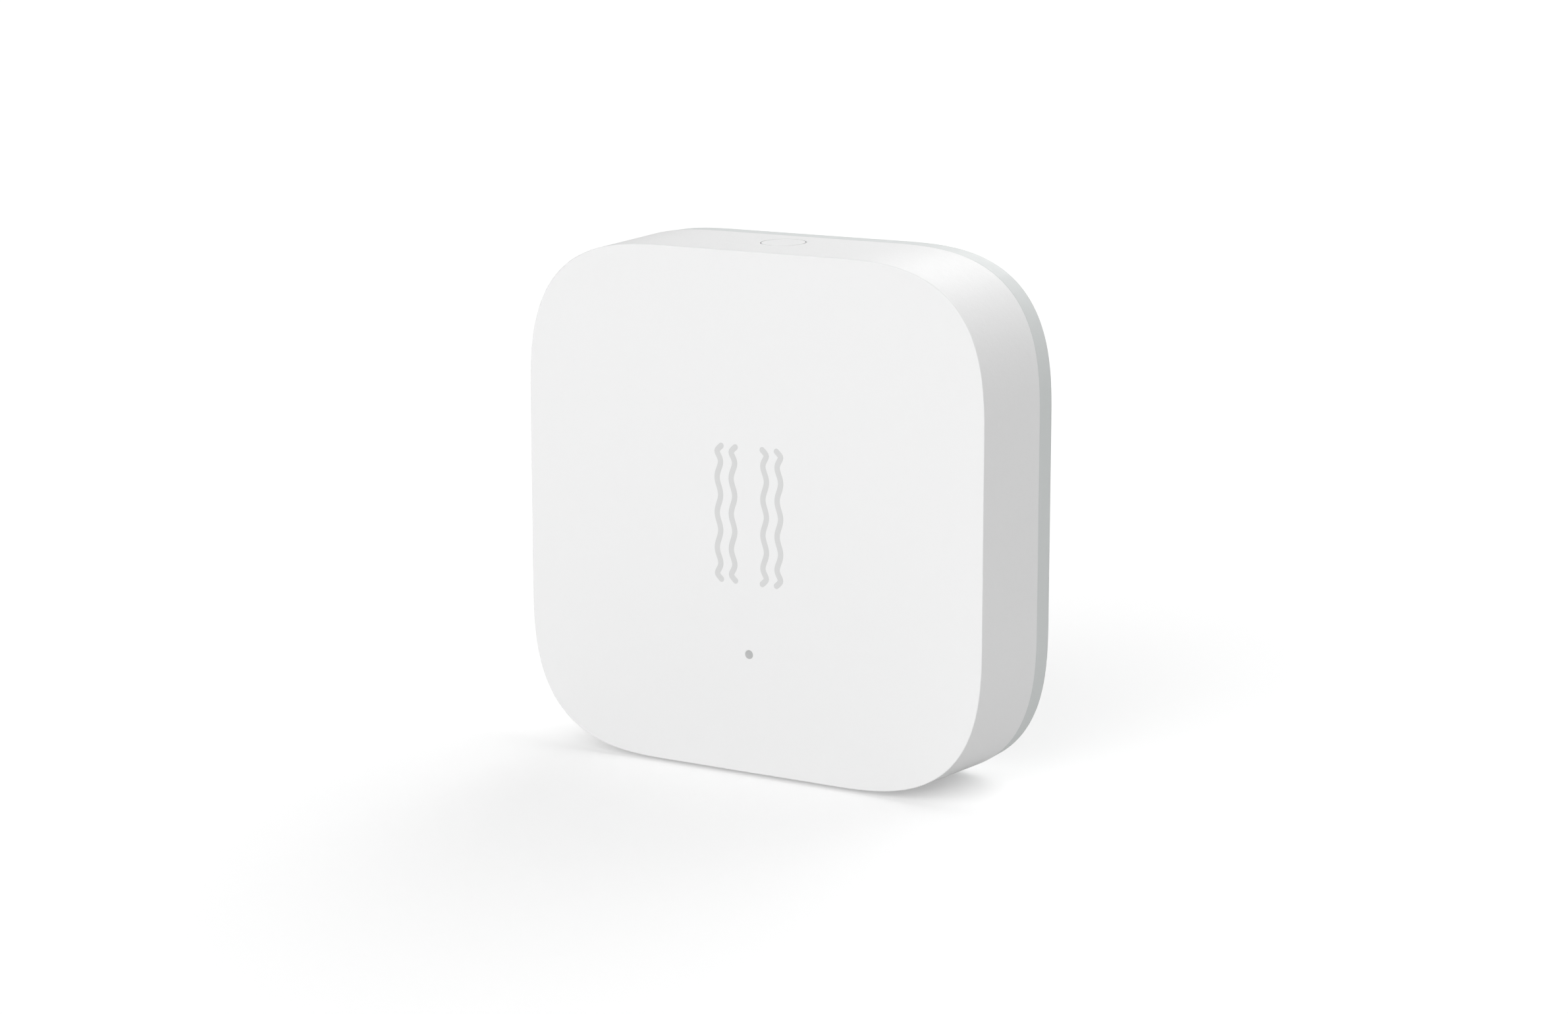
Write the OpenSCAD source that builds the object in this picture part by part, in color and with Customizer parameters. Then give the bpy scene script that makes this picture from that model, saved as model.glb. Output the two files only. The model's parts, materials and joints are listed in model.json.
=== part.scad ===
// Small square wireless vibration sensor with a coin cell.
// It stands on its lower side. The front face looks towards -Y, +X is to its right and +Z is up.
// The origin is the middle of the overall box, at the level that the case stands on.

/* [Case] */
// Width and height of the case, at the line where the two shells meet
case_size = 44; // [43.5:0.5:48]
// Width and height of the front face
face_size = 43.42; // [43:0.02:43.5]
// Depth of the white front shell
shell_depth = 8.85; // [8.8:0.05:10]
// Depth of the grey rear housing that shows at the side
band_depth = 2.25; // [2.2:0.05:2.8]
// Wall thickness of both shells
wall = 1.5; // [1.3:0.1:1.6]
// Share of each half side that the corner curve takes up
corner_share = 0.642; // [0.5:0.002:0.7]
// Power of the superellipse that shapes the corners
corner_power = 2.93; // [2.4:0.01:3.2]
// Rounding of the front shell's front edge
edge_round = 0.15; // [0.05:0.05:0.4]

/* [Button] */
// Diameter of the button cap
button_d = 3.7; // [3.4:0.1:4]
// Distance of the button's axis behind the front face
button_setback = 5.4; // [5.3:0.05:5.5]
// Gap all round the cap
button_gap = 0.07; // [0.04:0.01:0.1]
// Travel of the button
button_travel = 0.25; // [0.15:0.05:0.3]

/* [Status light] */
// Diameter of the light pipe's end
light_d = 0.76; // [0.6:0.02:1.4]
// Distance of the light below the middle of the face
light_drop = 11.65; // [9.5:0.05:13]

/* [Wave marks] */
// Width of each wavy line
mark_w = 0.5; // [0.3:0.01:0.6]
// Distance of the outer lines from the middle of the face
mark_outer = 2.885; // [2.6:0.005:4]
// Distance of the inner lines from the middle of the face
mark_inner = 1.525; // [1.2:0.005:1.8]
// How far each line swings to either side
mark_swing = 0.168; // [0.05:0.002:0.25]
// Length of a full wave near the middle of a line
mark_wave = 2.96; // [2.5:0.02:3.5]
// Depth of the lines in the face
mark_depth = 0.2; // [0.1:0.05:0.4]

/* [Battery and door] */
// Diameter of the coin cell
cell_d = 20; // [19.9:0.1:20]
// Thickness of the coin cell
cell_t = 3.2; // [3:0.1:3.2]
// Diameter of the door's rim
door_d = 24; // [23.9:0.1:24.4]
// Turn that brings the door from locked to open
door_turn = 40; // [36:1:44]
// Width of the coin slot across the door
coin_slot_w = 1.9; // [1.6:0.1:2.4]
// Length of the coin slot
coin_slot_l = 14; // [10:0.5:16]

/* [Back pad] */
// Width and height of the adhesive pad
pad_size = 36; // [33:0.5:38]
// How far the pad stands proud of the rear face
pad_proud = 0.4; // [0.2:0.1:0.8]

/* [Board] */
// Thickness of the circuit board
board_t = 1; // [0.8:0.1:1]
// Distance of the board screws from both middle lines
screw_reach = 13.5; // [13:0.1:14]

/* [Hidden] */

$fn = 64;
corner_steps = 16;
skin = 0.01;
past = 0.5;
gap = 0.1;

// Heights and depths, from the driving dimensions
mid_z = case_size / 2;
y_front = -(shell_depth + band_depth + pad_proud) / 2;
y_inside = y_front + wall;
y_split = y_front + shell_depth;
y_rear = y_split + band_depth;
y_back = y_rear + pad_proud;
y_button = y_front + button_setback;
y_board = y_inside + 1.8;
y_board_back = y_board + board_t;

// Rear wall, door and cell, from the rear face inwards
pad_pocket = 0.3;
rear_wall = 1.3;
door_r = door_d / 2;
door_sunk = 0.05;
y_door_out = y_rear - door_sunk;
y_rim_under = y_door_out - 0.8;
y_ledge_top = y_rim_under - 0.05;
y_ledge_under = y_ledge_top - 0.8;
y_door_under = y_door_out - 1.3;
y_skirt = y_ledge_under - 0.8;
ledge_r = door_r - 1;
skirt_r = ledge_r - 0.15;
skirt_wall = 0.6;
lug_r = ledge_r + 0.85;
lug_span = 24;
lug_count = 3;
lug_margin = 1;
groove_r = lug_r + 0.15;
collar_r = groove_r + 1.2;
y_collar = y_skirt - 0.2;
cushion_r = 8.5;
y_cell_back = y_door_under - 0.6;
y_cell_front = y_cell_back - cell_t;
cell_r = cell_d / 2;
cell_wall = 0.25;
cell_cap_r = 8.9;
cell_lip = 0.5;

// Joint between the two shells
tongue_long = 1.2;
tongue_wall = 1;
tongue_half = case_size / 2 - wall - 0.12;
snap_w = 4;
snap_reach = 5.5;

// Cradle, board and screws
cradle_r = cell_r + 1.6;
y_cradle = y_collar - gap;
board_half = face_size / 2 - wall - 0.4;
ear_t = 1.5;
ear_r = 2.4;
y_ear = y_board_back + ear_t;
screw_r = 0.8;
screw_head_r = 1.6;
screw_head_t = 1;
screw_long = 4.75;
boss_r = 2;
screw_places = [for (i = [-1, 1], j = [-1, 1]) screw_reach * [i, j]];

// Button and switch, from the board's top edge upwards
button_r = button_d / 2;
hole_r = button_r + button_gap;
flange_t = 0.5;
z_collar = mid_z + face_size / 2 - 1.86;
z_flange = z_collar - 0.05;
z_pusher = z_flange - flange_t - 0.3;
z_plunger = z_pusher - 0.05;
z_switch = z_plunger - button_travel - 0.6;
z_notch = z_pusher - button_travel - 0.3;
switch_w = 4.5;
switch_d = 3.2;
switch_t = 2 * (y_button - y_board_back);
pocket_w = 2.5;
pocket_t = 1.3;
z_pocket = z_switch - 2.5;
plunger_t = 1.1;
sheet_t = 0.15;

// Side of the case at a given depth: the wall drafts outwards towards the rear
function half_at(y) = face_size / 2 + (case_size - face_size) / 2 * (y - y_front) / shell_depth;

// Case outline: a square with superelliptic corners
function corner_reach(a) =
    pow(pow(abs(cos(a)), corner_power) + pow(abs(sin(a)), corner_power), -1 / corner_power);
function corner_point(a) =
    [for (c = [cos(a), sin(a)]) 1 - corner_share + corner_share * corner_reach(a) * c];
function quarter_turn(p, q) =
    q == 0 ? p : q == 1 ? [-p[1], p[0]] : q == 2 ? [-p[0], -p[1]] : [p[1], -p[0]];
function outline(half) = [
    for (q = [0:3]) for (i = [0:corner_steps])
        half * quarter_turn(corner_point(90 * i / corner_steps), q)
];

// Wavy line: waves that shorten towards the ends, which then hook over
mark_hook_from = 1.737 * mark_wave;
mark_hook = 0.4;
mark_half = mark_hook_from + 0.43;
mark_bend = 1.3;
mark_crowd = 0.526;
mark_steps = 44;
mark_end_steps = 4;
function half_waves(u) = 2 * u / mark_wave + mark_crowd * pow(u / mark_hook_from, 7);
function hook_offset(u) =
    mark_hook * pow((u - mark_hook_from) / (mark_half - mark_hook_from), mark_bend) - mark_swing;
function mark_offset(z) =
    let (u = abs(z))
    u < mark_hook_from ? -mark_swing * cos(180 * half_waves(u)) : hook_offset(u);
function mark_point(i) =
    let (z = mark_half * (2 * i / mark_steps - 1)) [mark_offset(z), z];
function mark_angle(i) =
    let (a = mark_point(max(i - 0.5, 0)), b = mark_point(min(i + 0.5, mark_steps)))
    atan2(b[1] - a[1], b[0] - a[0]);
function around(p, angle) = p + mark_w / 2 * [cos(angle), sin(angle)];
function mark_outline() = [
    for (i = [0:mark_steps]) around(mark_point(i), mark_angle(i) - 90),
    for (k = [1:mark_end_steps - 1])
        around(mark_point(mark_steps), mark_angle(mark_steps) - 90 + 180 * k / mark_end_steps),
    for (i = [mark_steps:-1:0]) around(mark_point(i), mark_angle(i) + 90),
    for (k = [1:mark_end_steps - 1])
        around(mark_point(0), mark_angle(0) + 90 + 180 * k / mark_end_steps)
];

// Places a flat shape, drawn as seen from the front, between two depths
module plate(y0, y1) {
    translate([0, y1, mid_z]) rotate([90, 0, 0])
        linear_extrude(y1 - y0) children();
}

// Stands a round shape on the case's middle axis, rising from depth y0 towards the rear
module axial(y0) {
    translate([0, y0, mid_z]) rotate([-90, 0, 0]) children();
}

module disc(r, y0, y1) {
    axial(y0) cylinder(r = r, h = y1 - y0);
}

// Part of a ring about the middle axis, from angle start over a span
module sector(r0, r1, y0, y1, start, span) {
    axial(y0) rotate(start)
        rotate_extrude(angle = span) translate([r0, 0]) square([r1 - r0, y1 - y0]);
}

// Block between two depths, its front at y0 and its foot at height z0
module block(x, y0, y1, z0, z1) {
    translate([-x / 2, y0, z0]) cube([x, y1 - y0, z1 - z0]);
}

// A pin along the depth at place p of the face
module pin_at(p, r, y0, y1) {
    translate([p[0], y0, mid_z + p[1]]) rotate([-90, 0, 0]) cylinder(r = r, h = y1 - y0);
}

module slice(y, half) {
    plate(y, y + skin) polygon(outline(half));
}

module shell_outside() {
    hull() {
        for (a = [0, 30, 60, 90]) {
            y = y_front + edge_round * (1 - sin(a));
            slice(y, half_at(y) - edge_round * (1 - cos(a)));
        }
        slice(y_split - skin, half_at(y_split));
    }
}

module shell_cavity() {
    hull() {
        slice(y_inside, half_at(y_inside) - wall);
        slice(y_split + past, half_at(y_split + past) - wall);
    }
}

module wave_lines() {
    for (side = [-1, 1], x = [mark_inner, mark_outer])
        translate([side * x, 0]) mirror([side > 0 ? 1 : 0, 0]) polygon(mark_outline());
}

module front_shell() {
    color("white")
    difference() {
        union() {
            difference() {
                shell_outside();
                shell_cavity();
            }
            translate([0, y_button, z_collar]) cylinder(r = button_r + 0.8, h = wall);
            for (p = screw_places) pin_at(p, boss_r, y_inside - gap, y_board);
        }
        translate([0, y_button, z_collar - past]) cylinder(r = hole_r, h = 2 * wall + 1);
        pin_at([0, -light_drop], light_d / 2 + 0.02, y_front - past, y_inside + past);
        for (p = screw_places) pin_at(p, screw_r + 0.02, y_board - 2.45, y_board + past);
        plate(y_front - past, y_front + mark_depth) wave_lines();
        for (side = [-1, 1], z = [-snap_reach, snap_reach])
            translate([side * (tongue_half + 0.3), 0, mid_z + z])
                block(0.6, y_split - 1.15, y_split - 0.35, -snap_w / 2 - 0.3, snap_w / 2 + 0.3);
    }
}

module wave_marks() {
    color([0.83, 0.83, 0.83])
    plate(y_front, y_front + mark_depth) wave_lines();
}

module light_pipe() {
    color([0.72, 0.74, 0.74])
    union() {
        pin_at([0, -light_drop], light_d / 2, y_front + 0.04, y_inside);
        pin_at([0, -light_drop], 1.1, y_inside, y_inside + 0.5);
        pin_at([0, -light_drop], 0.8, y_inside + 0.5, y_board - 0.7);
    }
}

// The cap's top is cut level with the drafted upper wall
module button_cap() {
    draft = atan((case_size - face_size) / 2 / shell_depth);
    color("white")
    difference() {
        union() {
            translate([0, y_button, z_flange]) cylinder(r = button_r, h = 3);
            translate([0, y_button, z_flange - flange_t]) cylinder(r = button_r + 0.7, h = flange_t);
            translate([0, y_button, z_pusher]) cylinder(r = 1.2, h = 0.3);
        }
        translate([0, y_button, mid_z + half_at(y_button)]) rotate([draft, 0, 0])
            translate([-button_d, -button_d, 0]) cube(2 * button_d);
    }
}

// Under the ledge each lug has a groove to turn in, and a notch to leave through at its open end
module door_grooves() {
    for (k = [0:lug_count - 1]) {
        start = 360 * k / lug_count - lug_span / 2 - lug_margin;
        sector(ledge_r - past, groove_r, y_collar - past, y_ledge_under, start,
            lug_span + door_turn + 2 * lug_margin);
        sector(ledge_r - past, groove_r - 0.05, y_ledge_under - gap, y_ledge_top + gap,
            start + door_turn + lug_margin / 2, lug_span + lug_margin);
    }
}

module rear_housing() {
    color([0.73, 0.74, 0.735])
    difference() {
        union() {
            difference() {
                plate(y_split, y_rear) polygon(outline(case_size / 2));
                plate(y_split - past, y_rear - rear_wall) polygon(outline(tongue_half - tongue_wall));
            }
            tongue();
            disc(collar_r, y_collar, y_rear - rear_wall + gap);
        }
        disc(ledge_r, y_collar - past, y_rear + past);
        disc(door_r + gap, y_ledge_top, y_rear + past);
        door_grooves();
        difference() {
            plate(y_rear - pad_pocket, y_rear + past) polygon(outline(pad_size / 2 + gap));
            disc(door_r + 0.9, y_rear - 1, y_rear + 1);
        }
    }
}

// Rim that plugs into the front shell, open at the button, with four snap hooks
module tongue() {
    y_tip = y_split - tongue_long;
    difference() {
        plate(y_tip, y_split + wall) polygon(outline(tongue_half));
        plate(y_tip - past, y_split + wall + past) polygon(outline(tongue_half - tongue_wall));
        block(2 * snap_w, y_tip - past, y_split, mid_z + ledge_r, case_size);
    }
    for (side = [0, 1], z = [-snap_reach, snap_reach])
        mirror([side, 0, 0]) translate([tongue_half, y_split, mid_z + z - snap_w / 2])
            linear_extrude(snap_w)
                polygon([[-0.3, -1.1], [-0.3, -0.45], [0.4, -0.45], [0.4, -0.7], [0, -1.1]]);
}

module adhesive_pad() {
    color([0.33, 0.34, 0.35])
    difference() {
        plate(y_rear - pad_pocket, y_back) polygon(outline(pad_size / 2));
        disc(door_r + 1, y_rear - 1, y_back + 1);
    }
}

module battery_door() {
    color([0.71, 0.72, 0.715])
    difference() {
        union() {
            disc(door_r, y_rim_under, y_door_out);
            disc(skirt_r, y_skirt, y_rim_under);
            for (k = [0:lug_count - 1])
                sector(skirt_r - skirt_wall / 2, lug_r, y_skirt, y_ledge_under - gap,
                    360 * k / lug_count - lug_span / 2, lug_span);
        }
        disc(skirt_r - skirt_wall, y_skirt - past, y_door_under);
        plate(y_door_out - 0.8, y_door_out + past) {
            square([coin_slot_l - coin_slot_w, coin_slot_w], center = true);
            for (side = [-1, 1])
                translate([side * (coin_slot_l - coin_slot_w) / 2, 0]) circle(d = coin_slot_w);
        }
    }
}

module door_cushion() {
    color([0.25, 0.25, 0.27])
    disc(cushion_r, y_cell_back + 0.05, y_door_under);
}

// Moulded ring that holds the cell, with four ears under the board screws
module battery_cradle() {
    ear_from = cell_r + 0.8;
    color([0.2, 0.2, 0.22])
    difference() {
        union() {
            disc(cradle_r, y_board_back, y_cradle);
            for (p = screw_places) pin_at(p, ear_r, y_board_back, y_ear);
            for (a = [45:90:315])
                plate(y_board_back, y_ear) rotate(a)
                    translate([ear_from, -ear_r]) square([screw_reach * sqrt(2) - ear_from, 2 * ear_r]);
        }
        disc(cell_r - 0.8, y_board_back - past, y_cradle + past);
        disc(cell_r + 0.2, y_cell_front - 0.05, y_cradle + past);
        for (p = screw_places) pin_at(p, screw_r + 0.1, y_board_back - past, y_ear + past);
        translate([cell_r + 1, 0, 0])
            block(4, y_board_back + 0.4, y_cradle + past, mid_z - 2.2, mid_z + 2.2);
    }
}

module cell_can() {
    color([0.78, 0.78, 0.76])
    difference() {
        disc(cell_r, y_cell_front + cell_lip, y_cell_back);
        disc(cell_r - cell_wall, y_cell_front, y_cell_back - cell_wall);
    }
}

module cell_cap() {
    color([0.8, 0.79, 0.77])
    difference() {
        disc(cell_cap_r, y_cell_front, y_cell_front + 2);
        disc(cell_cap_r - cell_wall, y_cell_front + cell_wall, y_cell_front + 3);
    }
}

module cell_seal() {
    color([0.15, 0.15, 0.15])
    difference() {
        disc(cell_r - cell_wall, y_cell_front + cell_lip, y_cell_front + 2);
        disc(cell_cap_r, y_cell_front, y_cell_back);
    }
}

module cell_core() {
    color([0.2, 0.2, 0.2])
    union() {
        disc(cell_cap_r - cell_wall, y_cell_front + cell_wall, y_cell_front + 2);
        disc(cell_r - cell_wall, y_cell_front + 2, y_cell_back - cell_wall);
    }
}

// Bent strip that stands on the board and leans on the side of the cell
module contact_positive() {
    w = 3;
    t = 0.2;
    x = cell_r + 0.05;
    y0 = y_board_back;
    y1 = y_cell_front + 1.3;
    color([0.8, 0.78, 0.7])
    translate([0, 0, mid_z - w / 2]) linear_extrude(w) polygon([
        [x + 4.5, y0], [x + 2.1, y0], [x, y1], [x + 0.5, y1 + 0.7],
        [x + 0.72, y1 + 0.7], [x + 0.25, y1], [x + 2.25, y0 + t], [x + 4.5, y0 + t]
    ]);
}

// Folded leaf between the board and the face of the cell
module contact_negative() {
    w = 4;
    t = 0.2;
    y0 = y_board_back;
    y1 = y_cell_front - 0.02;
    color([0.8, 0.78, 0.7])
    translate([0, 0, mid_z - w / 2]) linear_extrude(w) polygon([
        [-4, y0], [3, y0], [3, y0 + t], [-3.2, y0 + t], [1.6, y1 - t], [2.8, y1 - 0.6],
        [2.87, y1 - 0.4], [1.6, y1], [-4, y0 + t]
    ]);
}

module main_board() {
    color([0.1, 0.3, 0.2])
    difference() {
        plate(y_board, y_board_back) polygon(outline(board_half));
        for (p = screw_places) pin_at(p, screw_r + 0.1, y_board - past, y_board_back + past);
        block(2 * button_d, y_board - past, y_board_back + past, z_notch, case_size);
    }
}

// A part on the front of the board: centre p, width, height and thickness
module chip(p, w, h, t) {
    translate([p[0], 0, mid_z + p[1] - h / 2]) block(w, y_board - t, y_board, 0, h);
}

module radio_chip() {
    color([0.13, 0.13, 0.14]) chip([-7, 5], 6, 6, 0.85);
}

module crystal() {
    color([0.8, 0.78, 0.72]) chip([-1.5, 8], 3.2, 2.5, 0.7);
}

module memory_chip() {
    color([0.13, 0.13, 0.14]) chip([-1.5, 3], 3, 2, 0.6);
}

module motion_sensor() {
    color([0.16, 0.16, 0.17]) chip([8, 0], 2, 2, 1);
}

module shield_can() {
    t = 0.2;
    color([0.82, 0.82, 0.8])
    difference() {
        chip([-5.5, 5], 13, 12, 1.3);
        chip([-5.5, 5], 13 - 2 * t, 12 - 2 * t, 1.3 - t);
    }
}

module status_led() {
    color([0.9, 0.85, 0.6]) chip([0, -light_drop], 1.6, 0.8, 0.6);
}

// Folded copper line at the top of the board, beside the button's notch
module antenna_trace() {
    line = 0.6;
    tall = 4.5;
    pitch = 1.6;
    turns = 3;
    middle = [5.5, 16.2];
    t = 0.07;
    color([0.85, 0.6, 0.3])
    for (i = [0:turns]) {
        side = i % 2 == 0 ? 1 : -1;
        chip(middle + [i * pitch, 0], line, tall, t);
        if (i < turns)
            chip(middle + [(i + 0.5) * pitch, side * (tall - line) / 2], pitch - line, line, t);
    }
}

module test_pads() {
    color([0.85, 0.7, 0.3])
    for (i = [0:4]) pin_at([3 + 1.6 * i, -16.5], 0.55, y_board - 0.06, y_board);
}

module capacitors() {
    color([0.72, 0.58, 0.42])
    union() {
        for (i = [0:4]) chip([-9.6 + 1.7 * i, 0.5], 1, 0.5, 0.5);
        for (i = [0:3]) chip([4 + 1.5 * i, -4], 0.8, 1.6, 0.8);
        for (i = [0:2]) chip([-16, 2 * i - 2], 1, 0.5, 0.5);
    }
}

module resistors() {
    color([0.12, 0.12, 0.12])
    union() {
        for (i = [0:4]) chip([-9.6 + 1.7 * i, -3], 0.5, 1, 0.35);
        for (i = [0:2]) chip([3.5, 10 + 1.2 * i], 1, 0.5, 0.35);
        for (side = [-1, 1]) chip([2.4 * side, -light_drop], 0.5, 1, 0.35);
    }
}

// Large capacitor on the back of the board, beside the negative contact
module reservoir_capacitor() {
    color([0.75, 0.6, 0.25])
    translate([0, 0, mid_z - 6.5]) block(3.2, y_board_back, y_board_back + 1.2, 0, 2.5);
}

module switch_base() {
    y1 = y_board_back + switch_t - sheet_t;
    color([0.15, 0.15, 0.16])
    difference() {
        block(switch_w, y_board_back, y1, z_switch - switch_d, z_switch);
        block(pocket_w, y_button - pocket_t / 2, y_button + pocket_t / 2, z_pocket, z_switch + past);
    }
}

// Bent steel sheet over the back and the top of the switch, with a slot for the plunger
module switch_cover() {
    y1 = y_board_back + switch_t;
    color([0.82, 0.82, 0.8])
    difference() {
        union() {
            block(switch_w, y1 - sheet_t, y1, z_switch - switch_d, z_switch + sheet_t);
            block(switch_w, y_board_back + sheet_t, y1, z_switch, z_switch + sheet_t);
            for (side = [-1, 1])
                translate([side * (switch_w + sheet_t) / 2, 0, 0])
                    block(sheet_t, y_board_back, y1, z_switch - 2.2, z_switch - 0.8);
        }
        block(2.1, y_button - 0.62, y_button + 0.62, z_switch - past, z_switch + past);
    }
}

// Thin snap dome at the bottom of the switch's pocket
module switch_dome() {
    rise = 0.4;
    chord = 2.2;
    t = 0.1;
    r = (chord * chord / 4 + rise * rise) / (2 * rise);
    color([0.85, 0.85, 0.83])
    translate([0, y_button + 0.6, z_pocket]) rotate([90, 0, 0]) linear_extrude(1.2)
        intersection() {
            translate([0, rise - r]) difference() {
                circle(r = r);
                circle(r = r - t);
            }
            translate([-chord / 2, 0]) square([chord, rise]);
        }
}

module switch_terminals() {
    z_foot = z_switch - switch_d + 0.1;
    color([0.82, 0.8, 0.72])
    for (side = [-1, 1])
        translate([side * (switch_w / 2 + 0.4), 0, 0])
            block(0.8, y_board_back, y_board_back + sheet_t, z_foot, z_foot + 0.6);
}

module switch_plunger() {
    y0 = y_button - plunger_t / 2;
    y1 = y_button + plunger_t / 2;
    color([0.9, 0.9, 0.88])
    union() {
        block(2.4, y0, y1, z_pocket + 0.45, z_switch - 0.1);
        block(2, y0, y1, z_switch - 0.1, z_plunger);
    }
}

module board_screws() {
    color([0.7, 0.7, 0.72])
    for (p = screw_places)
        difference() {
            union() {
                pin_at(p, screw_r, y_ear - screw_long, y_ear);
                pin_at(p, screw_head_r, y_ear, y_ear + screw_head_t);
            }
            for (a = [0, 90])
                translate([p[0], 0, mid_z + p[1]]) rotate([0, a, 0])
                    block(1.8, y_ear + 0.4, y_ear + 2, -0.2, 0.2);
        }
}

front_shell();
wave_marks();
light_pipe();
button_cap();
rear_housing();
adhesive_pad();
battery_door();
door_cushion();
battery_cradle();
cell_can();
cell_cap();
cell_seal();
cell_core();
contact_positive();
contact_negative();
main_board();
radio_chip();
shield_can();
crystal();
memory_chip();
motion_sensor();
status_led();
antenna_trace();
test_pads();
capacitors();
resistors();
reservoir_capacitor();
switch_base();
switch_cover();
switch_dome();
switch_terminals();
switch_plunger();
board_screws();
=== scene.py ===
"""Small square wireless vibration sensor, drawn round its CAD frame. Metres, +Z up, front towards -Y."""

import json
import math

import bmesh
import bpy
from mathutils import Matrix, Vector


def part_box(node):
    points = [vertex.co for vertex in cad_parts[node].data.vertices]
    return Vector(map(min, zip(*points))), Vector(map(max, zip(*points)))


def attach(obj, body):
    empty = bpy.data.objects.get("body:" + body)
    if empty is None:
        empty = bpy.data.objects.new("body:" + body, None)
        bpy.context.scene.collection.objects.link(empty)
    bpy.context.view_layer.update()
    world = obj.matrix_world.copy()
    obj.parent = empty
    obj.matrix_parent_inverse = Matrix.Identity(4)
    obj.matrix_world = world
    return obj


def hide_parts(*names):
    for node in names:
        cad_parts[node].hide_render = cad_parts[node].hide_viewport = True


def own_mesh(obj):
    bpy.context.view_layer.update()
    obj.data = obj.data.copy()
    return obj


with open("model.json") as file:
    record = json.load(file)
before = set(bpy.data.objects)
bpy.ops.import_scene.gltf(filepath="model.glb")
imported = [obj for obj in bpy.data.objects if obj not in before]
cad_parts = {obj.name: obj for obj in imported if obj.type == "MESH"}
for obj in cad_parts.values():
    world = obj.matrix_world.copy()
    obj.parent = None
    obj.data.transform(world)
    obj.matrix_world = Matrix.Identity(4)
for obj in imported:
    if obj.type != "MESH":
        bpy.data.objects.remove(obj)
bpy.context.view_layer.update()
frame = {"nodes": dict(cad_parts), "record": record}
MM = 0.001

# ---- Places and sizes, from the CAD frame ----
shell_low, shell_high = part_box("front_shell")
housing_low, housing_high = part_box("rear_housing")
pad_low, pad_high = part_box("adhesive_pad")
door_low, door_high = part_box("battery_door")
cap_low, cap_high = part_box("button_cap")
pipe_low, pipe_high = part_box("light_pipe")

Y_FRONT = shell_low[1]
Y_SPLIT = shell_high[1]
Y_REAR = housing_high[1]
Y_TONGUE = housing_low[1]
CASE_HALF = housing_high[0]
MID_Z = (housing_low[2] + housing_high[2]) / 2
FACE_HALF = CASE_HALF - 0.29 * MM
WALL = 1.5 * MM
Y_INSIDE = Y_FRONT + WALL
DRAFT = (CASE_HALF - FACE_HALF) / (Y_SPLIT - Y_FRONT)

EDGE_ROUND = 0.08 * MM
LIP_ROUND = 0.03 * MM
REAR_ROUND = 0.15 * MM
CORNER_SHARE = 0.642
CORNER_POWER = 2.93
RING_POINTS = 360
ARC_STEPS = 6
SLIVER = 0.0005 * MM

FLANGE_R = (cap_high[0] - cap_low[0]) / 2
HOLE_R = FLANGE_R - 0.63 * MM
BUTTON_R = HOLE_R - 0.1 * MM
BUTTON_Y = (cap_high[1] + cap_low[1]) / 2
HOLE_FLARE = 0.01 * MM
LIP_DEPTH = 0.25 * MM
UNDERCUT = 0.3 * MM
LIGHT_Z = (pipe_low[2] + pipe_high[2]) / 2
LIGHT_R = 0.36 * MM
LIGHT_GAP = 0.01 * MM

DOOR_R = door_high[0]
SEAT_R = DOOR_R + 0.1 * MM
LEDGE_R = DOOR_R - 1 * MM
SKIRT_R = LEDGE_R - 0.15 * MM
LUG_R = LEDGE_R + 0.85 * MM
LUG_SPAN = math.radians(24)
LUG_COUNT = 3
DOOR_TURN = math.radians(40)
Y_LEDGE_TOP = door_high[1] - 0.85 * MM
Y_LEDGE_UNDER = Y_LEDGE_TOP - 0.8 * MM
Y_COLLAR = door_low[1] - 0.2 * MM
PAD_POCKET = Y_REAR - pad_low[1]
TONGUE_HALF = CASE_HALF - WALL - 0.12 * MM
REAR_WALL = 1.3 * MM
SCREW_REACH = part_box("board_screws")[1][0] - 1.6 * MM
BOSS_R = 2 * MM
PILOT_R = 0.82 * MM
PILOT_DEPTH = 2.45 * MM
Y_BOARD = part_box("main_board")[0][1]

FLOOR_Z = -0.0001 * MM
FLOOR_GLOW = 0.345


# ---- Outline and lofting ----
def corner_reach(angle):
    """Distance of a unit superellipse from its middle."""
    c, s = abs(math.cos(angle)), abs(math.sin(angle))
    return (c ** CORNER_POWER + s ** CORNER_POWER) ** (-1 / CORNER_POWER)


def square_reach(angle):
    """Distance from the middle to a square of half side 1 with superelliptic corners."""
    a = angle % (math.pi / 2)
    straight = math.atan(1 - CORNER_SHARE)
    if a <= straight:
        return 1 / math.cos(a)
    if a >= math.pi / 2 - straight:
        return 1 / math.sin(a)
    low, high = 0.0, math.pi / 2
    for _ in range(40):
        t = (low + high) / 2
        x = 1 - CORNER_SHARE + CORNER_SHARE * corner_reach(t) * math.cos(t)
        z = 1 - CORNER_SHARE + CORNER_SHARE * corner_reach(t) * math.sin(t)
        low, high = (t, high) if math.atan2(z, x) < a else (low, t)
    return math.hypot(x, z)


ANGLES = [2 * math.pi * i / RING_POINTS for i in range(RING_POINTS)]
SQUARE = [square_reach(a) for a in ANGLES]
ROUND = [1.0] * RING_POINTS


def ring(y, size, shape=SQUARE):
    """A ring round the case's middle axis at depth y."""
    reach = [size * s for s in shape]
    return [(r * math.cos(a), y, MID_Z + r * math.sin(a)) for a, r in zip(ANGLES, reach)]


def arc(y, size, radius, start, stop, shape=SQUARE, steps=ARC_STEPS):
    """Rings round an edge about depth y and half side size. Angles in degrees, from +Y outwards."""
    turns = [math.radians(start + (stop - start) * i / steps) for i in range(steps + 1)]
    return [ring(y + radius * math.cos(t), size + radius * math.sin(t), shape) for t in turns]


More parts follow.
